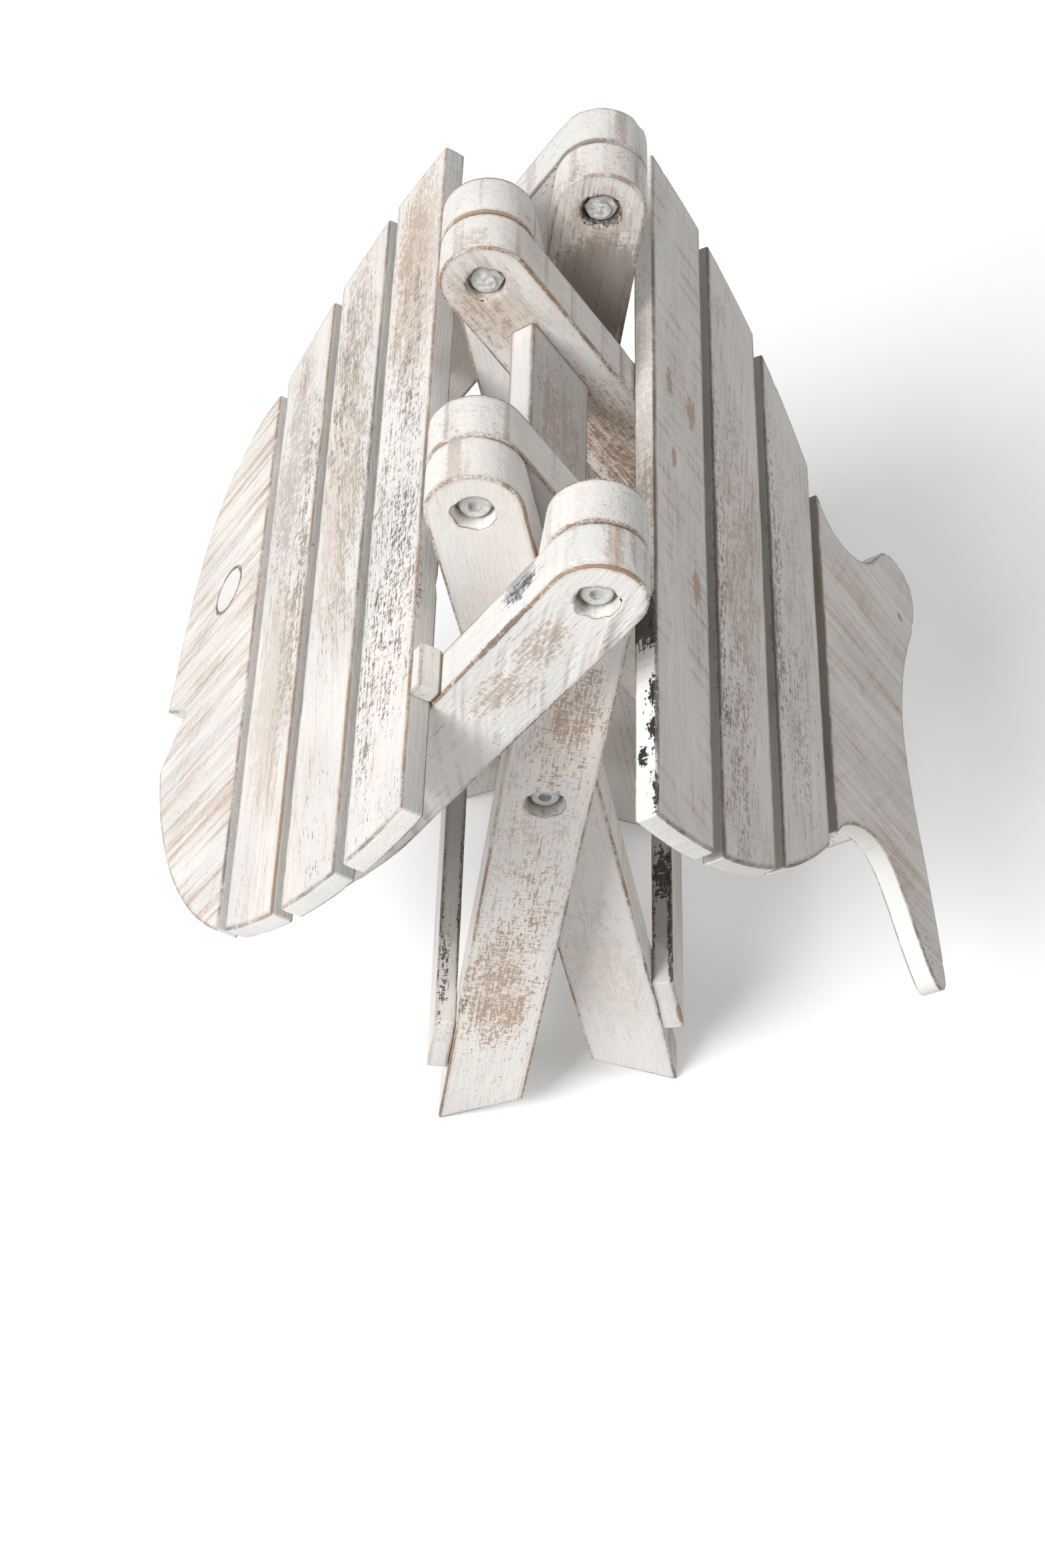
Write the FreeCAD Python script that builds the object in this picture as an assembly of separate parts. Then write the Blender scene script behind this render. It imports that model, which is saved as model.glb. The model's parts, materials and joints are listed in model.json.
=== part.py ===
import FreeCAD, Part
import math
import os

# Folding stool with a fish-shaped slatted seat, half folded.
# Two crossed pairs of legs turn on cross bolts. Each seat half turns on the top of one pair.
# X runs from the head to the tail, Y from front to back, Z up. Lengths in mm, angles in degrees.

# Timber sections
bar_width = 40.0
bar_thickness = 22.9
layer_clearance = 0.3
slat_width = 44.5
slat_thickness = 10.5
slat_gap = 7.4
edge_round = 1.2

# Leg pairs
pivot_to_cross = 154.5
cross_to_heel = 263.2
inner_bay = 86.9
stretcher_width = 40.0
stretcher_thickness = 10.5
cross_to_stretcher = 175.0

# Seat halves, measured outwards from their pivots
pivot_to_slat = 85.8
left_batten_length = 262.0
right_batten_length = 300.0
head_board_seat = 15.0
handle_inset = 27.5
handle_width = 44.5
handle_thickness = 12.0

# Pose in which the stool stands
leg_tilt = 8.86
left_drop = 55.06
right_drop = 58.84

# Plan of the fish: two arcs along each flank, which meet at the widest place
flank_half_width = 199.0
flank_crest = -25.0
head_flank_radius = 286.0
tail_flank_radius = 230.0
seat_offset = 6.0

# Head board, measured from its inner edge, and across from the middle line of the fish
upper_lip = (89.5, 17.4)
mouth_corner = (67.7, 2.4)
lower_lip = (89.7, -20.9)
eye_place = (34.0, 57.6)

# Head board, measured from its inner edge, and outwards from the far or the near corner there
far_back_points = [(43.0, -15.5), (63.5, -41.5), (80.5, -93.5)]
near_jaw_middle = (60.5, -67.5)

# Eye
eye_radius = 12.0
eye_depth = 5.0
eye_groove = 0.6

# Tail board, measured from its inner edge, and across from the middle line of the fish
fin_middle_points = [(82.5, 16.0), (91.5, -48.0)]

# Tail board, measured from its inner edge, and outwards from the far or the near corner there
far_fin_points = [(26.5, -15.0), (58.5, -0.5), (82.5, 23.0), (104.5, 19.0), (107.5, 1.5), (96.5, -30.5)]
near_tip_outer = (106.2, 16.5)
near_tip_middle = (101.5, 22.5)
near_tip_inner = (92.0, 20.8)
near_hollow_points = [(73.8, -0.4), (47.0, -24.9), (22.0, -20.5)]

# Pivot bolts and nuts
bolt_radius = 4.0
running_clearance = 0.05
head_radius = 6.4
head_height = 4.0
head_dome = 1.33
head_sink = 8.0
socket_radius = 2.9
socket_depth = 2.4
nut_across_flats = 13.0
nut_height = 6.5
nut_face_inset = 0.13
nut_sink = 9.5
bolt_end = 1.8
recess_radius = 8.2
seat_play = 0.1

# Values that follow from the sizes above
half_bar = bar_width / 2
layer_pitch = bar_thickness + layer_clearance
slat_pitch = slat_width + slat_gap
slats_per_half = int((left_batten_length - head_board_seat - pivot_to_slat) / slat_pitch)
open_half_span = pivot_to_slat - slat_gap / 2
open_tilt = math.degrees(math.asin(open_half_span / pivot_to_cross))
tilt = math.radians(leg_tilt)
cross_height = cross_to_heel * math.cos(tilt) - half_bar * math.sin(tilt)
pivot_height = cross_height + pivot_to_cross * math.cos(tilt)
pivot_offset = pivot_to_cross * math.sin(tilt)
middle_y = -seat_offset
y_axis = FreeCAD.Vector(0, 1, 0)


def vec(x, y, z):
    return FreeCAD.Vector(x, y, z)


def layer_front(layer):
    """Front face of a layer of bars. Layer 1 is foremost, layer 4 borders the inner bay."""
    return middle_y - inner_bay / 2 - bar_thickness - (4 - layer) * layer_pitch


def rear_twin(shape):
    """The same piece at the back, mirrored in the middle plane of the leg pairs."""
    return shape.mirror(vec(0, middle_y, 0), y_axis)


def soften(solid, edges=None):
    """Round the edges of a wooden piece, as the worn edges are."""
    return solid.makeFillet(edge_round, edges or solid.Edges)


def prism_y(edges, front, depth):
    """Extrude a closed outline that is drawn at Y = 0 in the XZ plane."""
    face = Part.Face(Part.Wire(edges))
    solid = face.extrude(vec(0, depth, 0))
    solid.translate(vec(0, front, 0))
    return solid


def hole_y(x, z, radius, start, length):
    return Part.makeCylinder(radius, length, vec(x, 0, z) + y_axis * start, y_axis)


def turned(shape, angle):
    """Turn about the Y axis through the origin: positive carries the top towards +X."""
    shape.rotate(vec(0, 0, 0), y_axis, angle)
    return shape


# Bars

def leg_bar(outer, layer):
    """A leg about its cross pivot: round at the top, its sole level when the stool is open."""
    sole_rise = bar_width * math.tan(math.radians(open_tilt))
    top = pivot_to_cross
    heel = vec(outer * half_bar, 0, -cross_to_heel)
    toe = vec(-outer * half_bar, 0, sole_rise - cross_to_heel)
    shoulder_out = vec(outer * half_bar, 0, top)
    shoulder_in = vec(-outer * half_bar, 0, top)
    outline = [Part.LineSegment(toe, heel).toShape(),
               Part.LineSegment(heel, shoulder_out).toShape(),
               Part.Arc(shoulder_out, vec(0, 0, top + half_bar), shoulder_in).toShape(),
               Part.LineSegment(shoulder_in, toe).toShape()]
    return soften(prism_y(outline, layer_front(layer), bar_thickness))


def batten_bar(side, length, layer):
    """A batten about its pivot, round at that end, running outwards along side times X."""
    top = vec(0, 0, half_bar)
    bottom = vec(0, 0, -half_bar)
    top_end = vec(side * length, 0, half_bar)
    bottom_end = vec(side * length, 0, -half_bar)
    outline = [Part.LineSegment(bottom, bottom_end).toShape(),
               Part.LineSegment(bottom_end, top_end).toShape(),
               Part.LineSegment(top_end, top).toShape(),
               Part.Arc(top, vec(-side * half_bar, 0, 0), bottom).toShape()]
    return soften(prism_y(outline, layer_front(layer), bar_thickness))


def drilled(bar, layer, x, z, recess):
    """Drill a bar of the front group for a bolt, with a recess for its head or for its nut."""
    front = layer_front(layer)
    bar = bar.cut(hole_y(x, z, bolt_radius + running_clearance, front, bar_thickness))
    if recess == "head":
        return bar.cut(hole_y(x, z, recess_radius, front, head_sink))
    return bar.cut(hole_y(x, z, recess_radius, front + bar_thickness - nut_sink, nut_sink))


def pivot_bolt(x, z, layer):
    """A bolt whose head lies in the recess of one layer, with its end in the next layer."""
    seat = layer_front(layer) + head_sink - seat_play
    nut_face = layer_front(layer + 1) + bar_thickness - nut_sink + seat_play
    tip = nut_face + nut_height + bolt_end
    head = hole_y(x, z, head_radius, seat - head_height, head_height)
    rims = [edge for edge in head.Edges if edge.Closed]
    head = head.makeFillet(head_dome, [min(rims, key=lambda edge: edge.CenterOfMass.y)])
    socket = hole_y(x, z, socket_radius, seat - head_height, socket_depth)
    return head.cut(socket).fuse(hole_y(x, z, bolt_radius, seat, tip - seat))


def pivot_nut(x, z, layer):
    """The nut of the bolt above, at the far side of the next layer."""
    face_y = layer_front(layer + 1) + bar_thickness - nut_sink + seat_play
    flat = nut_across_flats / 2
    corner = nut_across_flats / math.sqrt(3)
    turns = [math.radians(60 * side) for side in range(7)]
    corners = [vec(corner * math.cos(turn), 0, corner * math.sin(turn)) for turn in turns]
    nut = Part.Face(Part.makePolygon(corners)).extrude(vec(0, nut_height, 0))
    crown = Part.makeCone(flat + nut_height, flat - nut_face_inset, nut_height, vec(0, 0, 0), y_axis)
    nut = nut.common(crown).cut(hole_y(0, 0, bolt_radius, 0, nut_height))
    nut.translate(vec(x, face_y, z))
    return nut


def pair(front_piece):
    """A front piece and its rear twin, kept as two solids of one group."""
    return Part.makeCompound([front_piece, rear_twin(front_piece)])


# Boards of the seat, in the plan of the open seat

def flank(x):
    """Half width of the fish at x in the plan of the open seat."""
    radius = head_flank_radius if x < flank_crest else tail_flank_radius
    return flank_half_width - radius + math.sqrt(radius ** 2 - (x - flank_crest) ** 2)


def flank_edge(x_start, x_end, sign):
    """An arc of one flank between two stations on the same side of the widest place."""
    x_middle = (x_start + x_end) / 2
    points = [vec(x, sign * flank(x), 0) for x in (x_start, x_middle, x_end)]
    return Part.Arc(*points).toShape()


def plan_to_seat(solid, side):
    """Move a board from the plan of the open seat on to the battens of its half."""
    solid.translate(vec(side * open_half_span, 0, half_bar))
    return solid


def board(edges):
    face = Part.Face(Part.Wire(edges))
    return face.extrude(vec(0, 0, slat_thickness))


def slat(side, place):
    """A slat across the fish. Place 0 is the innermost of its half."""
    start = side * (slat_gap / 2 + place * slat_pitch)
    end = start + side * slat_width
    left, right = min(start, end), max(start, end)
    stations = [left] + ([flank_crest] if left < flank_crest < right else []) + [right]
    edges = []
    for x_start, x_end in zip(stations, stations[1:]):
        edges.append(flank_edge(x_start, x_end, 1))
        edges.append(flank_edge(x_start, x_end, -1))
    for x in (left, right):
        edges.append(Part.LineSegment(vec(x, flank(x), 0), vec(x, -flank(x), 0)).toShape())
    solid = board(Part.__sortEdges__(edges))
    return plan_to_seat(soften(solid), side)


def smooth(points):
    curve = Part.BSplineCurve()
    curve.interpolate(points)
    return curve.toShape()


def end_board_plan(side, bank=0):
    """Turn a place on the head or tail board into a point of the open plan.

    A place is measured from the board's inner edge, and across from the middle line of the fish, or
    outwards from the far corner (bank 1) or the near corner (bank -1) of that edge.
    """
    inner = side * (slat_gap / 2 + slats_per_half * slat_pitch)
    across = bank if bank else 1
    return lambda place: vec(inner + side * place[0], bank * flank(inner) + across * place[1], 0)


def head_board():
    middle, far, near = end_board_plan(-1), end_board_plan(-1, 1), end_board_plan(-1, -1)
    far_corner, near_corner = far((0, 0)), near((0, 0))
    back = [far_corner] + [far(place) for place in far_back_points] + [middle(upper_lip)]
    edges = [smooth(back),
             Part.LineSegment(middle(upper_lip), middle(mouth_corner)).toShape(),
             Part.LineSegment(middle(mouth_corner), middle(lower_lip)).toShape(),
             Part.Arc(middle(lower_lip), near(near_jaw_middle), near_corner).toShape(),
             Part.LineSegment(near_corner, far_corner).toShape()]
    solid = soften(board(edges))
    eye_floor = middle(eye_place) + vec(0, 0, slat_thickness - eye_depth)
    solid = solid.cut(Part.makeCylinder(eye_radius + eye_groove, eye_depth, eye_floor))
    return plan_to_seat(solid, -1)


def eye_disc():
    eye_floor = end_board_plan(-1)(eye_place) + vec(0, 0, slat_thickness - eye_depth)
    return plan_to_seat(Part.makeCylinder(eye_radius, eye_depth, eye_floor), -1)


def tail_board():
    middle, far, near = end_board_plan(1), end_board_plan(1, 1), end_board_plan(1, -1)
    far_corner, near_corner = far((0, 0)), near((0, 0))
    fin = [far_corner] + [far(place) for place in far_fin_points]
    fin += [middle(place) for place in fin_middle_points] + [near(near_tip_outer)]
    hollow = [near(near_tip_inner)] + [near(place) for place in near_hollow_points] + [near_corner]
    edges = [smooth(fin),
             Part.Arc(near(near_tip_outer), near(near_tip_middle), near(near_tip_inner)).toShape(),
             smooth(hollow),
             Part.LineSegment(near_corner, far_corner).toShape()]
    return plan_to_seat(soften(board(edges)), 1)


def stop_block():
    """Spacer on a left batten, against the inner slat: it meets the right half when open."""
    corner = vec(-pivot_to_slat, layer_front(1), half_bar)
    return soften(Part.makeBox(slat_gap, bar_thickness, slat_thickness, corner))


def handle_board():
    corner = vec(handle_inset, middle_y - inner_bay / 2, -handle_thickness / 2)
    box = Part.makeBox(handle_width, inner_bay, handle_thickness, corner)
    long_edges = [edge for edge in box.Edges if abs(edge.tangentAt(edge.FirstParameter).y) > 0.9]
    return soften(box, long_edges)


def stretcher(outer, layer):
    """Board across the outer edges of a leg pair, ending flush with their outer faces."""
    front = layer_front(layer)
    depth = 2 * (middle_y - front)
    inner_x = outer * half_bar
    outer_x = inner_x + outer * stretcher_thickness
    low = -cross_to_stretcher - stretcher_width
    box = Part.makeBox(stretcher_thickness, depth, stretcher_width, vec(min(inner_x, outer_x), front, low))
    return soften(box)


# Groups that move together, each about its own pivot

def leg_group(outer, layer):
    bar = drilled(leg_bar(outer, layer), layer, 0, 0, "head" if outer < 0 else "nut")
    bar = drilled(bar, layer, 0, pivot_to_cross, "nut" if outer < 0 else "head")
    return {"front": bar, "rear": rear_twin(bar), "stretcher": stretcher(outer, layer)}


def batten_group(side, length, layer):
    bar = drilled(batten_bar(side, length, layer), layer, 0, 0, "head" if side < 0 else "nut")
    return {"front": bar, "rear": rear_twin(bar)}


def place_leg(shape, outer):
    turned(shape, -outer * leg_tilt)
    shape.translate(vec(0, 0, cross_height))
    return shape


def place_seat(shape, side):
    turned(shape, side * (left_drop if side < 0 else right_drop))
    shape.translate(vec(-side * pivot_offset, 0, pivot_height))
    return shape


def build():
    nodes = {}
    for name, outer, layer in (("a", -1, 2), ("b", 1, 3)):
        group = leg_group(outer, layer)
        nodes["leg_" + name + "_front"] = place_leg(group["front"], outer)
        nodes["leg_" + name + "_rear"] = place_leg(group["rear"], outer)
        nodes["leg_" + name + "_stretcher"] = place_leg(group["stretcher"], outer)
    nodes["cross_bolts"] = place_leg(pair(pivot_bolt(0, 0, 2)), -1)
    nodes["cross_nuts"] = place_leg(pair(pivot_nut(0, 0, 2)), -1)
    for name, side, length, layer in (("left", -1, left_batten_length, 1),
                                      ("right", 1, right_batten_length, 4)):
        group = batten_group(side, length, layer)
        bolt_layer = min(layer, 3)
        nodes[name + "_batten_front"] = place_seat(group["front"], side)
        nodes[name + "_batten_rear"] = place_seat(group["rear"], side)
        nodes[name + "_pivot_bolts"] = place_seat(pair(pivot_bolt(0, 0, bolt_layer)), side)
        nodes[name + "_pivot_nuts"] = place_seat(pair(pivot_nut(0, 0, bolt_layer)), side)
        for place in range(slats_per_half):
            nodes[name + "_slat_" + str(place + 1)] = place_seat(slat(side, place), side)
    nodes["head_board"] = place_seat(head_board(), -1)
    nodes["eye_disc"] = place_seat(eye_disc(), -1)
    nodes["stop_block_front"] = place_seat(stop_block(), -1)
    nodes["stop_block_rear"] = place_seat(rear_twin(stop_block()), -1)
    nodes["tail_board"] = place_seat(tail_board(), 1)
    nodes["handle_board"] = place_seat(handle_board(), 1)
    return nodes


def centred(nodes):
    """Put the origin under the middle of the whole stool, on the floor."""
    box = Part.makeCompound(list(nodes.values())).optimalBoundingBox(False)
    shift = vec(-(box.XMin + box.XMax) / 2, -(box.YMin + box.YMax) / 2, -box.ZMin)
    for shape in nodes.values():
        shape.translate(shift)
    return shift


nodes = build()
shift = centred(nodes)
print("cross pivot", shift.x, shift.z + cross_height)
print("left seat pivot", shift.x + pivot_offset, shift.z + pivot_height)
print("right seat pivot", shift.x - pivot_offset, shift.z + pivot_height)
print("shift of the middle plane", shift.y, "open tilt", open_tilt)

os.makedirs("parts", exist_ok=True)
for name, shape in nodes.items():
    shape.exportStep("parts/" + name + ".step")
    print(name, len(shape.Solids), shape.isValid(), round(shape.Volume))
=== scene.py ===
import json
import math
from dataclasses import dataclass, replace

import bmesh
import bpy
from bpy.props import FloatProperty, FloatVectorProperty, PointerProperty
from mathutils import Matrix, Vector, noise


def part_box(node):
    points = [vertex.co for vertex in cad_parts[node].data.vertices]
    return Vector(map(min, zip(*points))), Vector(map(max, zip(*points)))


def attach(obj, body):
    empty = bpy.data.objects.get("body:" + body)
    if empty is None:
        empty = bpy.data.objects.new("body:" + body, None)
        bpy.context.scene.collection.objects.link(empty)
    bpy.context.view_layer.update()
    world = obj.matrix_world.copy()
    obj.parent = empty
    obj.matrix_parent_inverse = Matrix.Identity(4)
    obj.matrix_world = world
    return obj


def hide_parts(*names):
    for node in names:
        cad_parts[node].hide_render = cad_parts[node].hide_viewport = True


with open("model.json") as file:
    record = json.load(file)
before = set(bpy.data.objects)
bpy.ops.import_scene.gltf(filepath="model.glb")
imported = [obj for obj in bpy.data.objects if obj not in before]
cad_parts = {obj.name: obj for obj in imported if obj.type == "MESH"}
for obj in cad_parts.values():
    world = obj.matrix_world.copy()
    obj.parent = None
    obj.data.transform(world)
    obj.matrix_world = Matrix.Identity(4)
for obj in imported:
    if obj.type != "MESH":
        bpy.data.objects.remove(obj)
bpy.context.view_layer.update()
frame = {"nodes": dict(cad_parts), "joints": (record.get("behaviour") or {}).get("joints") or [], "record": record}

# Folding stool with a fish-shaped slatted seat, in worn whitewashed wood, half folded.

bl_info = {
    "name": "Folding fish stool",
    "version": (1, 0, 0),
    "blender": (4, 5, 0),
    "location": "3D View > Sidebar > Stool",
    "description": "Worn whitewashed pieces of a folding stool, and the stage that they stand on",
    "category": "Object",
}

RECORD = frame["record"]
JOINTS = {joint["name"]: Vector(joint["pos_m"]) for joint in frame["joints"]}
MOUNTS = {mount["name"]: Vector(mount["axis"]) for mount in RECORD["mounts"]}
BODY_OF = {node: body for body, nodes in RECORD["behaviour"]["bodies"].items() for node in nodes}
SLOT_OF = {part["node"]: part["material_slot"] for part in RECORD["subparts"]}
LEFT = -1
RIGHT = 1
SIDE_OF_BODY = {"leg_frame_a": LEFT, "leg_frame_b": RIGHT, "left_seat": LEFT, "right_seat": RIGHT}
CROSS = JOINTS["leg_fold"]
PIVOTS = {LEFT: JOINTS["left_pivot_turn"], RIGHT: JOINTS["right_pivot_turn"]}
SEAT_NORMALS = {LEFT: MOUNTS["seat_left"], RIGHT: MOUNTS["seat_right"]}
TO_BACK = Vector((0.0, 1.0, 0.0))
TO_FRONT = -TO_BACK
UP = Vector((0.0, 0.0, 1.0))
MILLIMETRE = 0.001
RIM = "rim"

# Limits for cutting and sorting the faces of a piece, lengths in metres

WELD = 2e-6
SAME_PLANE = math.radians(0.05)
CORNER = math.radians(30)
FLAT_COSINE = 0.99999
WALL_COSINE = 0.003
FACE_TOLERANCE = 0.0003
RECESS_TOLERANCE = 0.0002
RECESS_RADIUS = 0.0082
TAPER_CUTS = 7
FLAT_FACE_WEIGHT = 80

# Wear: lengths in metres, the noise at which chips and tears start, and the step from seed to seed

DENT_LENGTH = 0.022
CHIP_LENGTH = 0.008
TEAR_LENGTH = 0.004
CHIP_START = 0.35
TEAR_START = -0.4
EDGE_SHIFT = Vector((0.37, 0.11, 0.23))

# Whitewash: faces that carry marks, depths at which a wall begins, and steps of patterns, in millimetres

BAR_FACE = 11.5
SLAT_TOP = 5.2
SLAT_SIDE = 22.3
STRETCHER_SIDE = 20.0
WALL_START = 0.7
WALL_FULL = 1.3
SAW_SPACING = 5.0
PATTERN_SHIFT = Vector((37.1, 11.7, 23.3))

# Noise nodes, and the colour sockets of the Mix node, which share their names with others

NOISE_MIDDLE = 0.5
NOISE_GAIN = 4.0
NOISE_ROUGHNESS = 0.55
MIX_FIRST = 6
MIX_SECOND = 7
MIX_RESULT = 2

# Stage: colours, metres at which the floor's glow starts and is full, and the camera's long side in mm

WHITE = (1.0, 1.0, 1.0)
BLACK = (0.0, 0.0, 0.0)
LIT_FLOOR = (0.84, 0.84, 0.84)
SEEN_FLOOR = (0.93, 0.93, 0.935)
GLOW_NEAR = 1.4
GLOW_FAR = 3.2
LAMP_TARGET = Vector((0.0, 0.0, 0.2))
LONG_SIDE = 36.0


# Sizes and colours that a user would change

class StoolColours(bpy.types.PropertyGroup):
    """Colours of the whitewash, of what shows through it, and of painted shade."""

    paint: FloatVectorProperty(
        name="Paint", description="Thick whitewash", subtype="COLOR", default=(0.85, 0.83, 0.79))
    cool_paint: FloatVectorProperty(
        name="Cool paint", description="Whitewash with a grey cast", subtype="COLOR",
        default=(0.78, 0.775, 0.755))
    tan: FloatVectorProperty(
        name="Thin wash", description="Wood seen through thin paint", subtype="COLOR",
        default=(0.57, 0.46, 0.385))
    bare: FloatVectorProperty(
        name="Bare wood", description="Wood with the paint rubbed off", subtype="COLOR",
        default=(0.41, 0.255, 0.165))
    grain: FloatVectorProperty(
        name="Grain lines", description="Grey-brown lines along the grain", subtype="COLOR",
        default=(0.36, 0.31, 0.27))
    # Dirt in the pores; the same colour is also a painted shadow on the rear leg of pair A.
    fleck: FloatVectorProperty(
        name="Flecks", description="Dirt in the open pores", subtype="COLOR", default=(0.18, 0.145, 0.12))
    edge: FloatVectorProperty(
        name="Worn edge", description="Wood along the rubbed edges", subtype="COLOR",
        default=(0.32, 0.19, 0.105))
    # Black chips and stains; also painted shade, the black lines along the slats' top edges beside the gaps.
    soot_and_shade: FloatVectorProperty(
        name="Soot", description="Black chips and stains", subtype="COLOR", default=(0.03, 0.027, 0.025))
    smear: FloatVectorProperty(
        name="Smear", description="Blue-grey smears", subtype="COLOR", default=(0.33, 0.33, 0.37))
    # Painted shade: grey laid on the sides of the gaps between slats and on faces that other parts shade.
    gap: FloatVectorProperty(
        name="Gap", description="Grey stain on the sides of the gaps", subtype="COLOR",
        default=(0.27, 0.265, 0.255))
    steel: FloatVectorProperty(
        name="Steel", description="Dull steel of bolts and nuts", subtype="COLOR", default=(0.56, 0.57, 0.57))


class StoolWear(bpy.types.PropertyGroup):
    """How far the edges are worn."""

    rim: FloatProperty(
        name="Rim", description="Width of the band along an edge that is worn", default=0.002, unit="LENGTH")
    station: FloatProperty(
        name="Station", description="Distance between the cuts that let an edge bend", default=0.006,
        unit="LENGTH")
    dent: FloatProperty(
        name="Dent", description="Depth of the slow waves along an edge", default=0.0003, unit="LENGTH")
    chip: FloatProperty(
        name="Chip", description="Depth of the deepest chips along an edge", default=0.0009, unit="LENGTH")
    torn_recess: FloatProperty(
        name="Torn recess", description="Width of the widest chips round a bolt's recess", default=0.0018,
        unit="LENGTH")


class StoolStage(bpy.types.PropertyGroup):
    """Camera, lamps and floor."""

    camera_place: FloatVectorProperty(
        name="Camera place", description="Where the camera stands", subtype="TRANSLATION",
        unit="LENGTH", default=(0.0399, -0.8053, 1.1351))
    camera_yaw: FloatProperty(
        name="Yaw", description="Turn from the back towards the tail", subtype="ANGLE",
        default=math.radians(-3.75))
    camera_pitch: FloatProperty(
        name="Pitch", description="Angle below the horizon", subtype="ANGLE", default=math.radians(51.49))
    camera_roll: FloatProperty(
        name="Roll", description="Turn about the line of sight", subtype="ANGLE", default=math.radians(-2.93))
    lens: FloatProperty(
        name="Lens", description="Focal length in mm for a 36 mm long side", default=60.16)
    key_place: FloatVectorProperty(
        name="Key lamp place", description="Middle of the large soft lamp", subtype="TRANSLATION",
        unit="LENGTH", default=(-3.7, -3.1, 4.6))
    lamp_size: FloatProperty(
        name="Lamp size", description="Side of both square lamps", default=3.2, unit="LENGTH")
    key_power: FloatProperty(
        name="Key lamp power", description="Power of the key lamp in watts", default=460.0)
    fill_place: FloatVectorProperty(
        name="Fill lamp place", description="Middle of the dim lamp above on the right",
        subtype="TRANSLATION", unit="LENGTH", default=(2.6, -0.2, 4.6))
    fill_power: FloatProperty(
        name="Fill lamp power", description="Power of the dim lamp in watts", default=73.0)
    sky: FloatProperty(
        name="Sky", description="Strength of the even light from all round", default=0.14)
    floor_size: FloatProperty(
        name="Floor size", description="Side of the square floor", default=14.0, unit="LENGTH")
    floor_lift: FloatProperty(
        name="Floor lift", description="Light added to the floor where the camera sees it", default=0.2)


# Node trees written as expressions

class Signal:
    """A socket of a finish. Arithmetic on values adds Math nodes."""

    def __init__(self, finish, socket):
        self.finish = finish
        self.socket = socket

    def maths(self, operation, first, second):
        """The result of a Math node with two inputs."""
        return self.finish.node("ShaderNodeMath", {"operation": operation}, {0: first, 1: second})

    def __add__(self, other):
        return self.maths("ADD", self, other)

    def __radd__(self, other):
        return self.maths("ADD", other, self)

    def __sub__(self, other):
        return self.maths("SUBTRACT", self, other)

    def __rsub__(self, other):
        return self.maths("SUBTRACT", other, self)

    def __mul__(self, other):
        return self.maths("MULTIPLY", self, other)

    def size(self):
        """The value without its sign."""
        return self.finish.node("ShaderNodeMath", {"operation": "ABSOLUTE"}, {0: self})

    def fade(self, low, high):
        """0 at low and 1 at high, with soft ends; low may be the larger."""
        ends = {"Value": self, "From Min": low, "From Max": high}
        return self.finish.node("ShaderNodeMapRange", {"interpolation_type": "SMOOTHSTEP"}, ends)

    def cover(self, share, soft):
        """1 over about this share of the surface, for a pattern from -1 to 1, with rims this soft."""
        level = 1.0 - 2.0 * share
        return self.fade(level - soft, level + soft)


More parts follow.
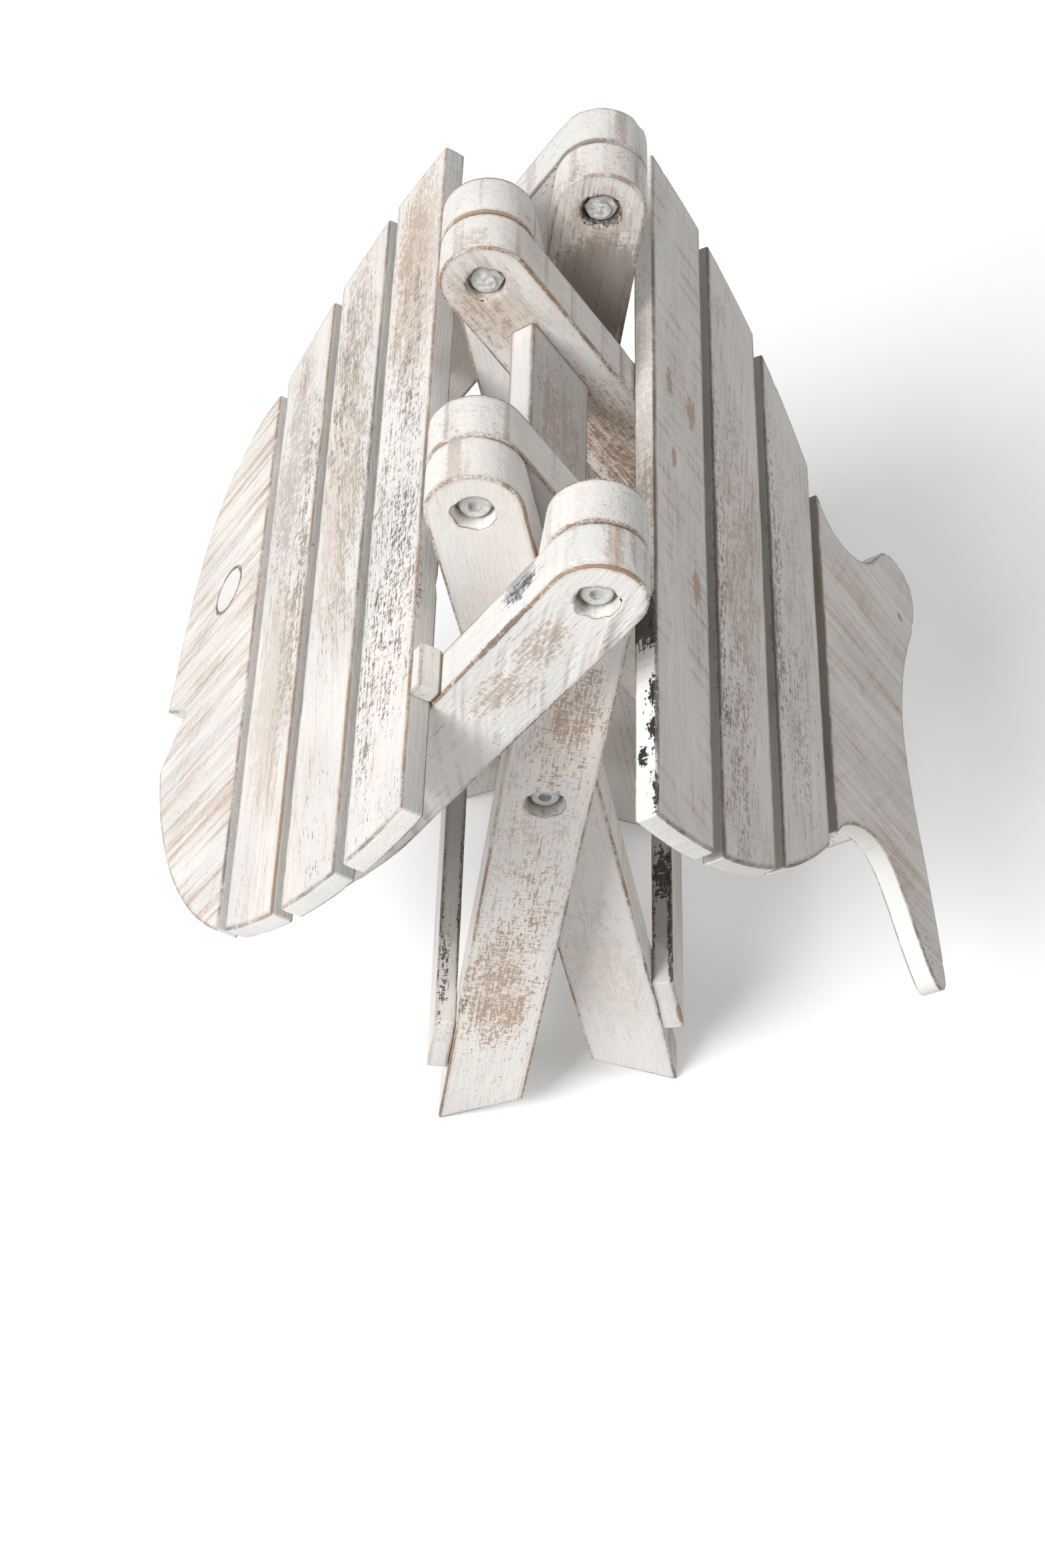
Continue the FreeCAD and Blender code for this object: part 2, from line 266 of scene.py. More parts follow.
class Finish:
    """A material's node tree, with one method that adds any node."""

    def __init__(self, tree):
        self.tree = tree
        self.tree.nodes.clear()

    def node(self, kind, settings, sockets, output=0):
        """Add a node with its settings, join or fill its sockets, and give back one output."""
        added = self.tree.nodes.new(kind)
        for name, value in settings.items():
            setattr(added, name, value)
        for key, value in sockets.items():
            if isinstance(value, Signal):
                self.tree.links.new(value.socket, added.inputs[key])
            else:
                added.inputs[key].default_value = value
        return Signal(self, added.outputs[output]) if added.outputs else None

    def place(self, grain):
        """Millimetres along the grain, across it and out of the face, from the grain's origin."""
        point = self.node("ShaderNodeTexCoord", {}, {}, "Object")
        turn = grain.rotation().to_euler("XYZ")
        sockets = {"Vector": point, "Location": grain.origin, "Rotation": turn,
                   "Scale": (MILLIMETRE, MILLIMETRE, MILLIMETRE)}
        return self.node("ShaderNodeMapping", {"vector_type": "TEXTURE"}, sockets)

    def scaled(self, place, scale, shift):
        """The place times a scale, plus a shift."""
        sockets = {0: place, 1: scale, 2: shift}
        return self.node("ShaderNodeVectorMath", {"operation": "MULTIPLY_ADD"}, sockets)

    def centred_noise(self, settings, sockets):
        """Noise whose values run from about -1 to 1."""
        return (self.node("ShaderNodeTexNoise", settings, sockets) - NOISE_MIDDLE) * NOISE_GAIN

    def pattern(self, place, cell, shift, detail):
        """Noise whose blots are about cell millimetres long, wide and deep."""
        moved = self.scaled(place, [1.0 / size for size in cell], shift)
        sockets = {"Vector": moved, "Scale": 1.0, "Detail": detail, "Roughness": NOISE_ROUGHNESS}
        return self.centred_noise({}, sockets)

    def turned(self, place, degrees):
        """The place with the grain turned in the plane of the face."""
        sockets = {"Vector": place, "Angle": math.radians(degrees)}
        return self.node("ShaderNodeVectorRotate", {"rotation_type": "Z_AXIS"}, sockets)

    def rings(self, place, centre, spacing):
        """Uneven rings round a centre, like the marks of a round saw."""
        flat = self.node("ShaderNodeVectorMath", {"operation": "MULTIPLY"}, {0: place, 1: (1.0, 1.0, 0.0)})
        radius = self.node("ShaderNodeVectorMath", {"operation": "DISTANCE"}, {0: flat, 1: centre}, "Value")
        sockets = {"W": radius, "Scale": 1.0 / spacing, "Detail": 1.0}
        return self.centred_noise({"noise_dimensions": "1D"}, sockets)

    def along(self, place, axis):
        """One of the three millimetre distances: X along the grain, Y across it and Z out of the face."""
        return self.node("ShaderNodeSeparateXYZ", {}, {0: place}, axis)

    def mix(self, share, first, second):
        """The first colour where share is 0 and the second where it is 1."""
        sockets = {0: share, MIX_FIRST: rgba(first), MIX_SECOND: rgba(second)}
        return self.node("ShaderNodeMix", {"data_type": "RGBA"}, sockets, MIX_RESULT)

    def seen(self):
        """1 for what the camera sees, straight or mirrored, and 0 for the light that falls on the stool."""
        rays = ("Is Camera Ray", "Is Glossy Ray", "Is Transmission Ray")
        straight, mirrored, refracted = [self.node("ShaderNodeLightPath", {}, {}, ray) for ray in rays]
        return straight + mirrored + refracted

    def near(self, place, middle, reach):
        """1 in the middle of an ellipsoid, 0 on its surface and negative outside."""
        shift = [-at / size for at, size in zip(middle, reach)]
        moved = self.scaled(place, [1.0 / size for size in reach], shift)
        return 1.0 - self.node("ShaderNodeVectorMath", {"operation": "LENGTH"}, {0: moved}, "Value")


def rgba(colour):
    """A colour as the Mix node takes it: a signal as it is, or three numbers with full alpha."""
    return colour if isinstance(colour, Signal) else (*colour, 1.0)


# Local frames of the pieces

@dataclass
class Grain:
    """Where a piece's pattern starts, and the directions along its grain and out of its face."""

    origin: Vector
    along: Vector
    out: Vector

    def across(self):
        """Direction across the grain, in the plane of the face."""
        return self.out.cross(self.along)

    def rotation(self):
        """The turn from the world's axes to along, across and out."""
        return Matrix((self.along, self.across(), self.out)).transposed()

    def point(self, along, across):
        """A point in the middle plane of the piece, from millimetres along the grain and across it."""
        return self.origin + (self.along * along + self.across() * across) * MILLIMETRE


def reach_of(node, origin, direction):
    """Least and greatest distance of a node's points from an origin, in millimetres along a direction."""
    reaches = [(vert.co - origin).dot(direction) / MILLIMETRE for vert in frame["nodes"][node].data.vertices]
    return min(reaches), max(reaches)


def middle_of(node):
    """Middle of a node's box."""
    low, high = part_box(node)
    return (low + high) / 2


def side_of(node):
    """The half of the seat that a piece belongs to, or that its leg pair carries."""
    return SIDE_OF_BODY[BODY_OF[node]]


def seat_outward(side):
    """Direction from the pivot of a seat half towards its end board."""
    return SEAT_NORMALS[side].cross(TO_BACK) * -side


def leg_upward(side):
    """Direction from the cross of the legs to the pivot of a seat half."""
    rise = PIVOTS[side] - CROSS
    return Vector((rise.x, 0.0, rise.z)).normalized()


def bar_grain(node, pivot, along):
    """The grain of a leg or batten, from a pivot, with its face to the front."""
    origin = Vector((pivot.x, middle_of(node).y, pivot.z))
    return Grain(origin, along, TO_FRONT)


# Worn pieces

@dataclass
class Taper:
    """The curve in which the free edge of a batten rises to its outer end, in millimetres from the pivot.

    The free side is 1 where that edge lies across the grain, and -1 where it lies against that direction.
    """

    start: float
    end: float
    free_side: int
    rise: float = 23.0
    half_width: float = 20.0


def cut_off(mesh, point, direction):
    """Take away what lies beyond a plane, and close the cut."""
    geometry = mesh.verts[:] + mesh.edges[:] + mesh.faces[:]
    cut = bmesh.ops.bisect_plane(
        mesh, geom=geometry, dist=WELD, plane_co=point, plane_no=direction, clear_outer=True)
    edges = [item for item in cut["geom_cut"] if isinstance(item, bmesh.types.BMEdge)]
    bmesh.ops.holes_fill(mesh, edges=edges, sides=0)


def cut_taper(mesh, grain, taper):
    """Cut the outer end of a batten to its length, and its free edge in an arc that starts along the edge."""
    cut_off(mesh, grain.point(taper.end, 0.0), grain.along)
    length = taper.end - taper.start
    radius = (length ** 2 + taper.rise ** 2) / (2 * taper.rise)
    centre = taper.half_width - radius
    sweep = math.asin(length / radius)
    for step in range(TAPER_CUTS):
        turn = sweep * (step + 0.5) / TAPER_CUTS
        along = math.sin(turn)
        across = math.cos(turn)
        place = grain.point(taper.start + radius * along, (centre + radius * across) * taper.free_side)
        cut_off(mesh, place, grain.along * along + grain.across() * (across * taper.free_side))
    bmesh.ops.recalc_face_normals(mesh, faces=mesh.faces[:])


def cut_stations(mesh, origin, direction, spacing):
    """Cut a mesh square to a direction at even stations, so that its edges can bend."""
    reaches = [(vert.co - origin).dot(direction) for vert in mesh.verts]
    first = math.ceil(min(reaches) / spacing)
    last = math.floor(max(reaches) / spacing)
    for station in range(first, last + 1):
        geometry = mesh.verts[:] + mesh.edges[:] + mesh.faces[:]
        point = origin + direction * (station * spacing)
        bmesh.ops.bisect_plane(mesh, geom=geometry, dist=WELD, plane_co=point, plane_no=direction)


def smooth_sections(faces):
    """Split faces into groups that meet without a corner, in the order of the faces."""
    waiting = set(faces)
    for first in faces:
        if first not in waiting:
            continue
        waiting.remove(first)
        section = [first]
        for face in section:
            for edge in face.edges:
                beside = [other for other in edge.link_faces if other in waiting]
                if beside and edge.calc_face_angle() < CORNER:
                    waiting.remove(beside[0])
                    section.append(beside[0])
        yield section


def mark_rims(mesh, out, width, straight_walls):
    """Inset the flat faces, and straight walls too. The rim value is 0 on edges and 1 inside."""
    rim = mesh.verts.layers.float.new(RIM)
    mesh.normal_update()
    flats = [face for face in mesh.faces if abs(face.normal.dot(out)) > FLAT_COSINE]
    sections = list(smooth_sections(flats))
    if straight_walls:
        walls = [face for face in mesh.faces if abs(face.normal.dot(out)) < WALL_COSINE]
        sections += smooth_sections(walls)
    for section in sections:
        bmesh.ops.inset_region(mesh, faces=section, thickness=width, use_even_offset=True, use_boundary=True)
        for face in section:
            for vert in face.verts:
                vert[rim] = 1.0
    return rim


def out_of_recess(point):
    """Direction away from a pivot's axis for a point on the rim of a bolt's recess, or None elsewhere."""
    for pivot in (CROSS, *PIVOTS.values()):
        offset = Vector((point.x - pivot.x, 0.0, point.z - pivot.z))
        if abs(offset.length - RECESS_RADIUS) < RECESS_TOLERANCE:
            return offset.normalized()
    return None


def wear_edges(mesh, grain, rim, wear, seed):
    """Press dents and chips into the edges, and tear the rims of the recesses. No edge moves outwards."""
    mesh.normal_update()
    shift = EDGE_SHIFT * seed
    heights = [(vert.co - grain.origin).dot(grain.out) for vert in mesh.verts]
    low = min(heights)
    high = max(heights)
    for vert, height in zip(mesh.verts, heights):
        if vert[rim] > 0.5:
            continue
        on_face = min(height - low, high - height) < FACE_TOLERANCE
        aside = out_of_recess(vert.co) if on_face else None
        if aside:
            tear = noise.noise((vert.co + shift) / TEAR_LENGTH) - TEAR_START
            vert.co += aside * (wear.torn_recess * min(max(tear, 0.0), 1.0))
        else:
            wave = noise.noise((vert.co + shift) / DENT_LENGTH) * 0.5 + 0.5
            nick = max(0.0, noise.noise((vert.co - shift) / CHIP_LENGTH) - CHIP_START)
            vert.co -= vert.normal * (wear.dent * wave + wear.chip * nick / (1.0 - CHIP_START))


def worn_copy(node, grain, seed, rim_share, straight_walls, taper):
    """A piece in the shape of a CAD node, with worn edges, which stands for the node."""
    wear = bpy.context.scene.stool_wear
    mesh = bmesh.new()
    mesh.from_mesh(frame["nodes"][node].data)
    bmesh.ops.remove_doubles(mesh, verts=mesh.verts[:], dist=WELD)
    bmesh.ops.dissolve_limit(mesh, angle_limit=SAME_PLANE, verts=mesh.verts[:], edges=mesh.edges[:])
    if taper:
        cut_taper(mesh, grain, taper)
    rim = mark_rims(mesh, grain.out, wear.rim * rim_share, straight_walls)
    cut_stations(mesh, grain.origin, grain.along, wear.station)
    cut_stations(mesh, grain.origin, grain.across(), wear.station)
    wear_edges(mesh, grain, rim, wear, seed)
    shape = bpy.data.meshes.new("worn_" + node)
    mesh.to_mesh(shape)
    mesh.free()
    shape.shade_smooth()
    piece = bpy.data.objects.new(shape.name, shape)
    bpy.context.scene.collection.objects.link(piece)
    normals = piece.modifiers.new("Flat faces", "WEIGHTED_NORMAL")
    normals.weight = FLAT_FACE_WEIGHT
    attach(piece, BODY_OF[node])
    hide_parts(node)
    return piece


# Whitewash

@dataclass
class Mark:
    """A patch of one colour on a piece. Place and reach are in millimetres along, across and out."""

    tint: str
    place: tuple
    reach: tuple
    amount: float = 0.8
    ragged: float = 1.0
    density: float = 1.0


@dataclass
class Look:
    """How a piece is painted and worn. Each share runs from 0 to 1; the twist of the grain is in degrees.

    The veil is thin paint, tan and bare are worn places, streaks follow the grain, saw is for the marks of
    a saw round its centre, bands are stains on the walls, and grime is dirt beside the rubbed edges. Plain
    walls keep their paint, and the edges on the dark side, 1 or -1 across the grain, are dark.
    """

    seed: int
    veil: float = 0.3
    tan: float = 0.15
    bare: float = 0.04
    grain: float = 0.2
    flecks: float = 0.1
    streaks: float = 0.0
    saw: float = 0.2
    saw_centre: tuple = (-90.0, 260.0, 0.0)
    bands: float = 0.0
    edge: float = 0.8
    grime: float = 0.22
    plain_walls: float = 0.0
    dark_side: int = 0
    twist: float = 0.0
    marks: tuple = ()


class Wood:
    """The patterns of one piece, each from about -1 to 1, with cells in millimetres along, across and out."""

    def __init__(self, finish, grain, look):
        self.place = finish.place(grain)
        turned = finish.turned(self.place, look.twist)
        shift = PATTERN_SHIFT * look.seed
        self.fibre = finish.pattern(turned, (35.0, 1.5, 1.5), shift, 3.0)
        self.fleck = finish.pattern(turned, (4.4, 1.0, 1.0), shift * 2, 2.0)
        cross = finish.pattern(turned, (1.1, 3.0, 3.0), shift * 3, 1.0)
        self.cloud = finish.pattern(turned, (60.0, 22.0, 22.0), shift * 4, 3.0)
        self.zone = finish.pattern(turned, (80.0, 40.0, 40.0), shift * 5, 1.0)
        self.grit = finish.pattern(self.place, (1.4, 1.4, 1.4), shift * 6, 2.0)
        self.streak = finish.pattern(turned, (150.0, 5.0, 5.0), shift * 7, 4.0)
        self.band = finish.pattern(self.place, (9.0, 9.0, 150.0), shift * 8, 2.0)
        self.blot = finish.pattern(turned, (14.0, 7.0, 7.0), shift * 9, 2.0)
        rings = finish.rings(self.place, look.saw_centre, SAW_SPACING)
        self.saw = rings * (self.cloud + self.blot).fade(-0.7, 0.5)
        self.torn = self.fleck * 0.7 + cross * 0.5 + self.fibre * 0.4 + self.blot * 0.4
        self.across = finish.along(self.place, "Y")
        self.out = finish.along(self.place, "Z")
        self.rim = finish.node("ShaderNodeAttribute", {"attribute_name": RIM}, {}, "Fac")


def mark_share(finish, wood, mark):
    """How much of a mark shows: all of it in the middle, and torn flakes of it towards the rim."""
    inside = finish.near(wood.place, mark.place, mark.reach).fade(-0.2, 0.75)
    flakes = inside * (2.4 * mark.density) - 1.2 + wood.torn * mark.ragged
    return flakes.fade(-0.25, 0.35) * inside.fade(0.0, 0.15) * mark.amount


def whitewash(name, grain, look, low, high):
    """Thin white paint over wood: streaks along the grain, dirt in the pores and rubbed edges.

    The numbers beside the patterns are their weights. Low and high are where the two faces lie.
    """
    colours = bpy.context.scene.stool_colours
    material = bpy.data.materials.new(name)
    material.use_nodes = True
    finish = Finish(material.node_tree)
    wood = Wood(finish, grain, look)
    half = (high - low) / 2
    wall = (wood.out - (low + high) / 2).size().fade(half - WALL_START, half - WALL_FULL)
    painted = 1.0 - wall * look.plain_walls

    thin = wood.cloud * 0.45 + wood.fibre * 0.35 + wood.grit * 0.2
    thin = thin + wood.saw * (0.45 * look.saw) + wood.streak * look.streaks
    colour = finish.mix(wood.zone.fade(-0.5, 0.5), colours.paint, colours.cool_paint)
    colour = finish.mix(thin.fade(-0.7, 0.9) * painted * look.veil, colour, colours.tan)
    tan_share = thin.cover(look.tan, 0.25) * painted
    colour = finish.mix(tan_share * 0.7, colour, colours.tan)
    bare_share = (thin + wood.fleck * 0.35).cover(look.bare, 0.2) * painted
    colour = finish.mix(bare_share * 0.7, colour, colours.bare)
    band_share = (wood.band + wood.grit * 0.2).cover(look.bands, 0.35) * wall
    band_colour = finish.mix(wood.cloud.fade(-0.3, 0.3), colours.bare, colours.fleck)
    colour = finish.mix(band_share * 0.5, colour, band_colour)
    colour = finish.mix(wood.saw.fade(0.0, 0.9) * painted * (0.3 * look.saw), colour, colours.grain)
    grain_share = (wood.fibre * 0.6 + wood.fleck * 0.5 + wood.cloud * 0.4).cover(look.grain, 0.35) * painted
    colour = finish.mix(grain_share * 0.55, colour, colours.grain)
    dirt_share = (wood.fleck * 0.8 + wood.zone * 0.5).cover(look.flecks, 0.18) * (painted - wall * 0.6)
    colour = finish.mix(dirt_share * 0.75, colour, colours.fleck)

    # Patches of stain, chips and wear, and on some pieces painted shade in the gaps and under other parts.
    for mark in look.marks:
        colour = finish.mix(mark_share(finish, wood, mark), colour, getattr(colours, mark.tint))

    grime_share = (wood.rim + wood.cloud * 0.4 + wood.fleck * 0.2).fade(0.9, -0.1) * painted
    colour = finish.mix(grime_share * look.grime, colour, colours.fleck)
    rubbed = wood.rim * 1.9 + wood.grit * 0.15 + wood.cloud * 0.25 + wood.band * 0.15
    edge_share = rubbed.fade(0.18, -0.12) * painted
    edge_colour = finish.mix(wood.zone.fade(0.0, 0.6), colours.edge, colours.fleck)
    if look.dark_side:
        edge_colour = finish.mix((wood.across * look.dark_side).fade(-5.0, 5.0), edge_colour, colours.fleck)
    colour = finish.mix(edge_share * look.edge, colour, edge_colour)

    relief = wood.fibre * 0.12 + wood.fleck * 0.12 + wood.saw * look.saw + wood.blot * 0.2 - edge_share * 0.4
    bump = finish.node("ShaderNodeBump", {}, {"Height": relief, "Strength": 0.8, "Distance": 0.0006})
    rough = 0.6 + tan_share * 0.1 + wood.fibre * 0.06
    shader = finish.node("ShaderNodeBsdfPrincipled", {}, {
        "Base Color": colour, "Roughness": rough, "Normal": bump, "Specular IOR Level": 0.2})
    finish.node("ShaderNodeOutputMaterial", {}, {"Surface": shader})
    return material


def finished(node, grain, look, rim_share=1.0, straight_walls=True, taper=None):
    """Make the worn and whitewashed piece that stands for a CAD node."""
    piece = worn_copy(node, grain, look.seed, rim_share, straight_walls, taper)
    low, high = reach_of(node, grain.origin, grain.out)
    piece.data.materials.append(whitewash("Whitewash " + node, grain, look, low, high))


# Operators, one for each group of like pieces

class STOOL_OT_legs(bpy.types.Operator):
    """Two crossed pairs of legs"""

    bl_idname = "stool.legs"
    bl_label = "Legs"

    def execute(self, context):
        looks = {
            "leg_a_front": Look(1, tan=0.1, bare=0.02, flecks=0.05, bands=0.2, edge=0.9, marks=(
                Mark("tan", (-60.0, 0.0, BAR_FACE), (260.0, 36.0, 6.0), 0.6, 1.3, 0.42),
                Mark("tan", (-140.0, 2.0, BAR_FACE), (88.0, 30.0, 6.0), 0.4, 0.5, 0.62),
                Mark("tan", (50.0, -3.0, BAR_FACE), (66.0, 22.0, 6.0), 0.4, 0.5, 0.6),
                Mark("bare", (-143.0, 3.0, BAR_FACE), (76.0, 27.0, 6.0), 0.62, 1.2, 0.56),
                Mark("bare", (-72.0, -4.0, BAR_FACE), (56.0, 16.0, 6.0), 0.65, 1.2, 0.38),
                Mark("bare", (66.0, -5.0, BAR_FACE), (46.0, 18.0, 6.0), 0.6, 1.2, 0.55),
                Mark("bare", (18.0, -1.0, BAR_FACE), (26.0, 19.0, 6.0), 0.6, 1.2, 0.36),
                Mark("smear", (0.0, 0.0, 5.0), (11.0, 11.0, 30.0), 0.7, 0.3, 0.9),
                Mark("fleck", (-160.0, 19.0, BAR_FACE), (14.0, 3.5, 8.0), 0.8, 1.0, 0.6))),
            "leg_a_rear": Look(2, veil=0.5, tan=0.3, bare=0.08, bands=0.25, marks=(
                # Painted shadow, partly stain: a dark patch on the face below the pivot, where the bars in front
                # shade it.
                Mark("fleck", (110.0, -4.0, BAR_FACE), (52.0, 36.0, 6.0), 0.62, 0.35, 0.78),
                Mark("bare", (150.0, -1.0, BAR_FACE), (30.0, 22.0, 5.0), 0.4, 0.5, 0.7),
                Mark("soot_and_shade", (154.5, 0.0, 9.0), (12.5, 12.5, 12.0), 0.85, 0.5, 1.0))),
            "leg_b_front": Look(3, tan=0.1, bare=0.01, grain=0.1, flecks=0.03, bands=0.25, edge=0.9, marks=(
                # Painted light: clean whitewash over the lower leg makes it lighter, in place of the stronger
                # light on that face.
                Mark("paint", (-120.0, 0.0, BAR_FACE), (300.0, 60.0, 6.0), 0.7, 0.3, 1.0),
                Mark("tan", (-60.0, 0.0, BAR_FACE), (260.0, 36.0, 6.0), 0.2, 0.8, 0.45),
                Mark("tan", (-165.0, 0.0, BAR_FACE), (95.0, 34.0, 6.0), 0.25, 0.6, 0.6))),
            "leg_b_rear": Look(4, veil=0.4, tan=0.3, bare=0.08, bands=0.25),
        }
        for node, look in looks.items():
            finished(node, bar_grain(node, CROSS, leg_upward(side_of(node))), look)
        return {"FINISHED"}


class STOOL_OT_stretchers(bpy.types.Operator):
    """Boards across the outer edges of the leg pairs"""

    bl_idname = "stool.stretchers"
    bl_label = "Stretchers"

    def execute(self, context):
        looks = {
            "leg_a_stretcher": Look(5, flecks=0.05, edge=0.4, marks=(
                # Painted shade: grey over the stretcher's upper narrow face.
                Mark("gap", (-10.0, -STRETCHER_SIDE, 0.0), (80.0, 3.0, 30.0), 0.45, 0.3),
                Mark("soot_and_shade", (-30.0, -STRETCHER_SIDE, -4.6), (85.0, 3.0, 2.2), 0.8, 1.0, 0.6),
                Mark("soot_and_shade", (-50.0, -STRETCHER_SIDE, 4.8), (70.0, 3.0, 2.0), 0.8, 1.0, 0.6),
                Mark("soot_and_shade", (-85.0, -STRETCHER_SIDE, 2.0), (34.0, 3.0, 6.0), 0.85, 1.2, 0.45))),
            "leg_b_stretcher": Look(6, flecks=0.05, edge=0.4, marks=(
                # Painted shade: grey over the stretcher's upper narrow face.
                Mark("gap", (-10.0, STRETCHER_SIDE, 0.0), (80.0, 3.0, 30.0), 0.45, 0.3),
                Mark("soot_and_shade", (-24.0, STRETCHER_SIDE, 0.5), (26.0, 3.0, 8.0), 0.9, 1.2, 0.72),
                Mark("soot_and_shade", (-50.0, STRETCHER_SIDE, 4.3), (62.0, 3.0, 2.6), 0.85, 1.1, 0.68),
                Mark("soot_and_shade", (-50.0, STRETCHER_SIDE, -4.4), (62.0, 3.0, 2.2), 0.85, 1.1, 0.6),
                Mark("edge", (-89.5, -8.0, 5.0), (3.0, 12.0, 3.0), 0.8, 1.0))),
        }
        for node, look in looks.items():
            side = side_of(node)
            out = TO_BACK.cross(leg_upward(side)) * side
            finished(node, Grain(middle_of(node), TO_BACK, out), look)
        return {"FINISHED"}


class STOOL_OT_battens(bpy.types.Operator):
    """Battens that carry the slats and turn on the leg tops"""

    bl_idname = "stool.battens"
    bl_label = "Battens"

    def execute(self, context):
        looks = {
            "left_batten_front": Look(
                7, veil=0.2, tan=0.06, bare=0.01, flecks=0.02, saw=1.0, bands=0.2, edge=0.9, marks=(
                    Mark("bare", (66.0, -2.0, 11.4), (26.0, 15.0, 5.0), 0.5, 0.9, 0.6),
                    Mark("bare", (30.0, -4.0, 11.4), (20.0, 13.0, 5.0), 0.5, 0.9, 0.58),
                    Mark("tan", (50.0, 0.0, 11.4), (48.0, 18.0, 5.0), 0.6, 0.9, 0.5),
                    Mark("smear", (24.0, -20.0, -6.0), (17.0, 4.0, 14.0), 0.8, 0.6, 0.75),
                    Mark("soot_and_shade", (24.0, -19.5, -3.0), (18.0, 3.0, 9.0), 0.8, 1.0, 0.55),
                    Mark("soot_and_shade", (36.0, -19.5, 11.0), (38.0, 2.2, 2.8), 0.75, 0.8, 0.75),
                    Mark("bare", (-19.0, -5.0, 0.0), (4.5, 6.0, 30.0), 0.5, 0.5, 0.7))),
            "left_batten_rear": Look(8, bands=0.25),
            "right_batten_front": Look(9, bands=0.25, marks=(
                Mark("bare", (3.0, -3.0, 9.0), (13.0, 13.0, 9.0), 0.5, 1.0, 0.55),)),
            "right_batten_rear": Look(10, veil=0.45, tan=0.25, bands=0.3, edge=0.95, marks=(
                Mark("tan", (12.0, -3.0, BAR_FACE), (46.0, 28.0, 6.0), 0.55, 0.5, 0.7),
                Mark("bare", (-17.0, 6.0, 4.0), (8.0, 12.0, 10.0), 0.4, 0.7, 0.6),
                Mark("tan", (105.0, -2.0, BAR_FACE), (80.0, 32.0, 6.0), 0.8, 0.7, 0.7),
                Mark("bare", (122.0, -6.0, BAR_FACE), (68.0, 30.0, 6.0), 0.5, 1.0, 0.6),
                Mark("fleck", (122.0, -6.0, BAR_FACE), (64.0, 28.0, 6.0), 0.6, 1.2, 0.42),
                Mark("bare", (14.0, -9.0, BAR_FACE), (24.0, 15.0, 5.0), 0.5, 1.1, 0.5))),
        }
        tapers = {LEFT: Taper(156.0, 260.0, 1), RIGHT: Taper(184.0, 288.0, -1)}
        for node, look in looks.items():
            side = side_of(node)
            finished(node, bar_grain(node, PIVOTS[side], seat_outward(side)), look, taper=tapers[side])
        return {"FINISHED"}


